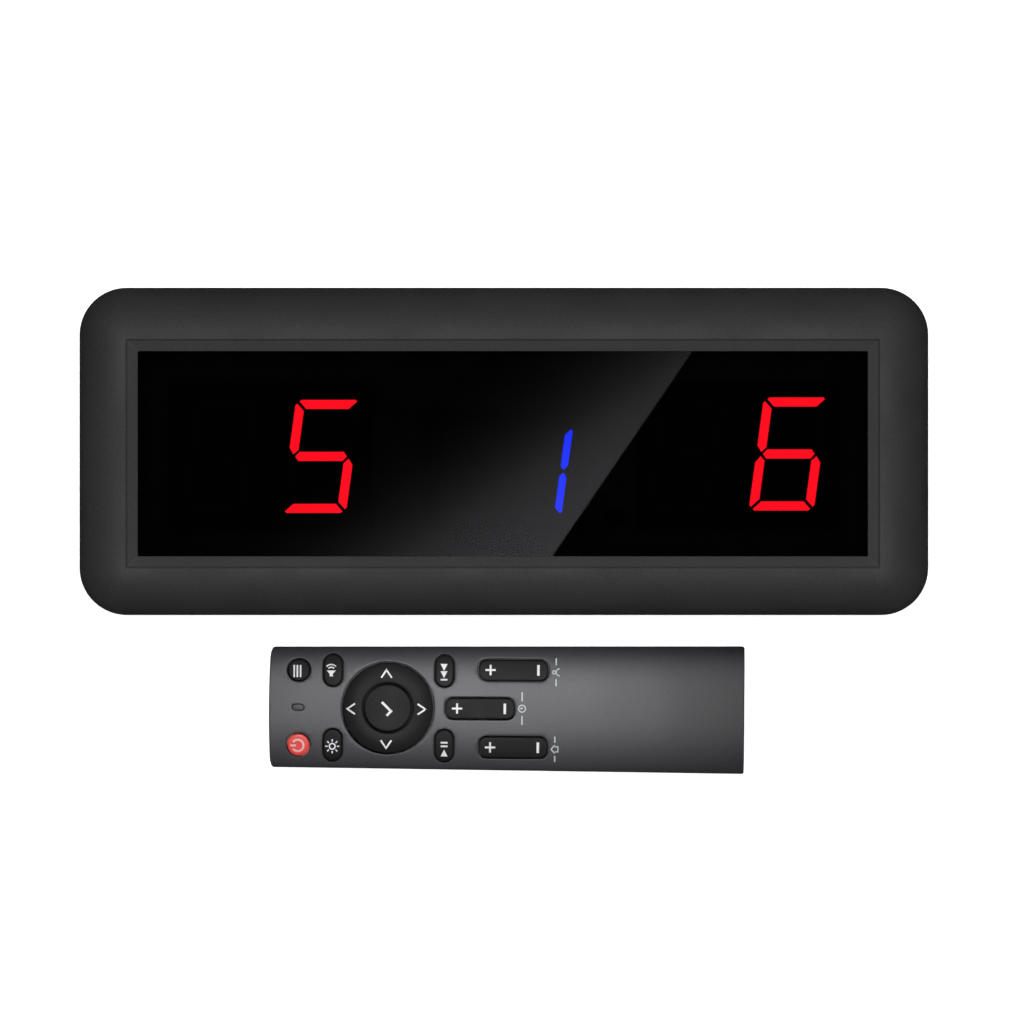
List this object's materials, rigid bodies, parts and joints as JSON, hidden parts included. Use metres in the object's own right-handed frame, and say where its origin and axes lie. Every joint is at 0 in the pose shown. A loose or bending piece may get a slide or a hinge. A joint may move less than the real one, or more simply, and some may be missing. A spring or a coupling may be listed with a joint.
{
  "type": "gym round timer",
  "caption": "LED gym timer and scoreboard with a crowned frame round a dark window, beside its slim infrared remote with push keys, rocker keys and a sliding battery door.",
  "frame": {"origin": "middle of the timer's flat back, which lies on the surface", "axes": "+X along the display to its right, +Y to the display's top, +Z out of the display's face; the remote lies beside the timer's bottom edge at -Y"},
  "size_m": [0.28, 0.1608, 0.045],
  "materials": {
    "case": "fine spark-eroded grain, matt",
    "window": "polished smoked acrylic",
    "gasket": "closed-cell foam",
    "display_board": "laminate with matt black solder mask",
    "remote_board": "laminate with green solder mask",
    "digit_block": "matt moulded block, diffused bars",
    "component": "moulded",
    "metal": "plated",
    "remote_shell": "gunmetal sprayed, fine brushed grain",
    "key": "matt",
    "power_key": "matt",
    "keypad": "matt silicone",
    "clear": "clear moulded",
    "ir_filter": "polished dark filter",
    "cell": "printed jacket, plain"
  },
  "bodies": {
    "timer": {"front_bezel": "case", "rear_shell": "case", "display_window": "window", "window_gasket": "gasket", "display_board": "display_board", "digit_home_tens": "digit_block", "digit_home_ones": "digit_block", "digit_period_tens": "digit_block", "digit_period_ones": "digit_block", "digit_guest_tens": "digit_block", "digit_guest_ones": "digit_block", "ir_receiver": "component", "controller_chip": "component", "driver_chip": "component", "smoothing_capacitor": "metal", "buzzer": "component", "dc_jack": "component", "power_lead": "component", "case_screw_1": "metal", "case_screw_2": "metal", "case_screw_3": "metal", "case_screw_4": "metal", "case_screw_5": "metal", "case_screw_6": "metal", "board_screw_1": "metal", "board_screw_2": "metal", "board_screw_3": "metal", "board_screw_4": "metal"},
    "remote": {"remote_top_shell": "remote_shell", "remote_bottom_shell": "remote_shell", "remote_board": "remote_board", "keypad_mat": "keypad", "indicator_lens": "clear", "remote_ir_window": "ir_filter", "remote_ir_led": "clear", "battery_a": "cell", "battery_b": "cell", "contact_spring_a": "metal", "contact_spring_b": "metal", "contact_positive": "metal", "contact_negative": "metal", "contact_bridge": "metal"},
    "battery_door": {"battery_door": "remote_shell"},
    "nav_pad": {"nav_pad": "keypad"},
    "nav_ring": {"nav_ring": "key"},
    "menu_key": {"menu_key": "key"},
    "power_key": {"power_key": "power_key"},
    "sound_key": {"sound_key": "key"},
    "light_key": {"light_key": "key"},
    "reset_key": {"reset_key": "key"},
    "stop_key": {"stop_key": "key"},
    "ok_key": {"ok_key": "key"},
    "guest_rocker": {"guest_rocker": "key"},
    "period_rocker": {"period_rocker": "key"},
    "home_rocker": {"home_rocker": "key"}
  },
  "joints": [
    {"name": "remote_lift", "type": "slide", "parent": "timer", "child": "remote", "axis": [0, 0, 1], "range_m": [0, 0.1]},
    {"name": "battery_door_slide", "type": "slide", "parent": "remote", "child": "battery_door", "axis": [1, -0.0073, 0], "range_m": [0, 0.056]},
    {"name": "menu_press", "type": "slide", "parent": "remote", "child": "menu_key", "axis": [0, 0, -1], "range_m": [0, 0.0008], "stiffness_N_per_m": 400, "springref_m": -0.001},
    {"name": "power_press", "type": "slide", "parent": "remote", "child": "power_key", "axis": [0, 0, -1], "range_m": [0, 0.0008], "stiffness_N_per_m": 400, "springref_m": -0.001},
    {"name": "sound_press", "type": "slide", "parent": "remote", "child": "sound_key", "axis": [0, 0, -1], "range_m": [0, 0.0008], "stiffness_N_per_m": 400, "springref_m": -0.001},
    {"name": "light_press", "type": "slide", "parent": "remote", "child": "light_key", "axis": [0, 0, -1], "range_m": [0, 0.0008], "stiffness_N_per_m": 400, "springref_m": -0.001},
    {"name": "reset_press", "type": "slide", "parent": "remote", "child": "reset_key", "axis": [0, 0, -1], "range_m": [0, 0.0008], "stiffness_N_per_m": 400, "springref_m": -0.001},
    {"name": "stop_press", "type": "slide", "parent": "remote", "child": "stop_key", "axis": [0, 0, -1], "range_m": [0, 0.0008], "stiffness_N_per_m": 400, "springref_m": -0.001},
    {"name": "ok_press", "type": "slide", "parent": "remote", "child": "ok_key", "axis": [0, 0, -1], "range_m": [0, 0.0008], "stiffness_N_per_m": 400, "springref_m": -0.001},
    {"name": "guest_rock", "type": "hinge", "parent": "remote", "child": "guest_rocker", "pos_m": [0.00319, -0.07232, 0.0145], "axis": [0.0073, 1, 0], "range_deg": [-4, 4], "stiffness_Nm_per_rad": 0.1},
    {"name": "period_rock", "type": "hinge", "parent": "remote", "child": "period_rocker", "pos_m": [-0.0079, -0.08503, 0.0145], "axis": [0.0073, 1, 0], "range_deg": [-4, 4], "stiffness_Nm_per_rad": 0.1},
    {"name": "home_rock", "type": "hinge", "parent": "remote", "child": "home_rocker", "pos_m": [0.00301, -0.09792, 0.0145], "axis": [0.0073, 1, 0], "range_deg": [-4, 4], "stiffness_Nm_per_rad": 0.1},
    {"name": "nav_rock_left_right", "type": "hinge", "parent": "remote", "child": "nav_pad", "pos_m": [-0.0384, -0.08481, 0.015], "axis": [0.0073, 1, 0], "range_deg": [-3, 3], "stiffness_Nm_per_rad": 0.1},
    {"name": "nav_rock_up_down", "type": "hinge", "parent": "nav_pad", "child": "nav_ring", "pos_m": [-0.0384, -0.08481, 0.015], "axis": [1, -0.0073, 0], "range_deg": [-3, 3], "stiffness_Nm_per_rad": 0.1}
  ]
}
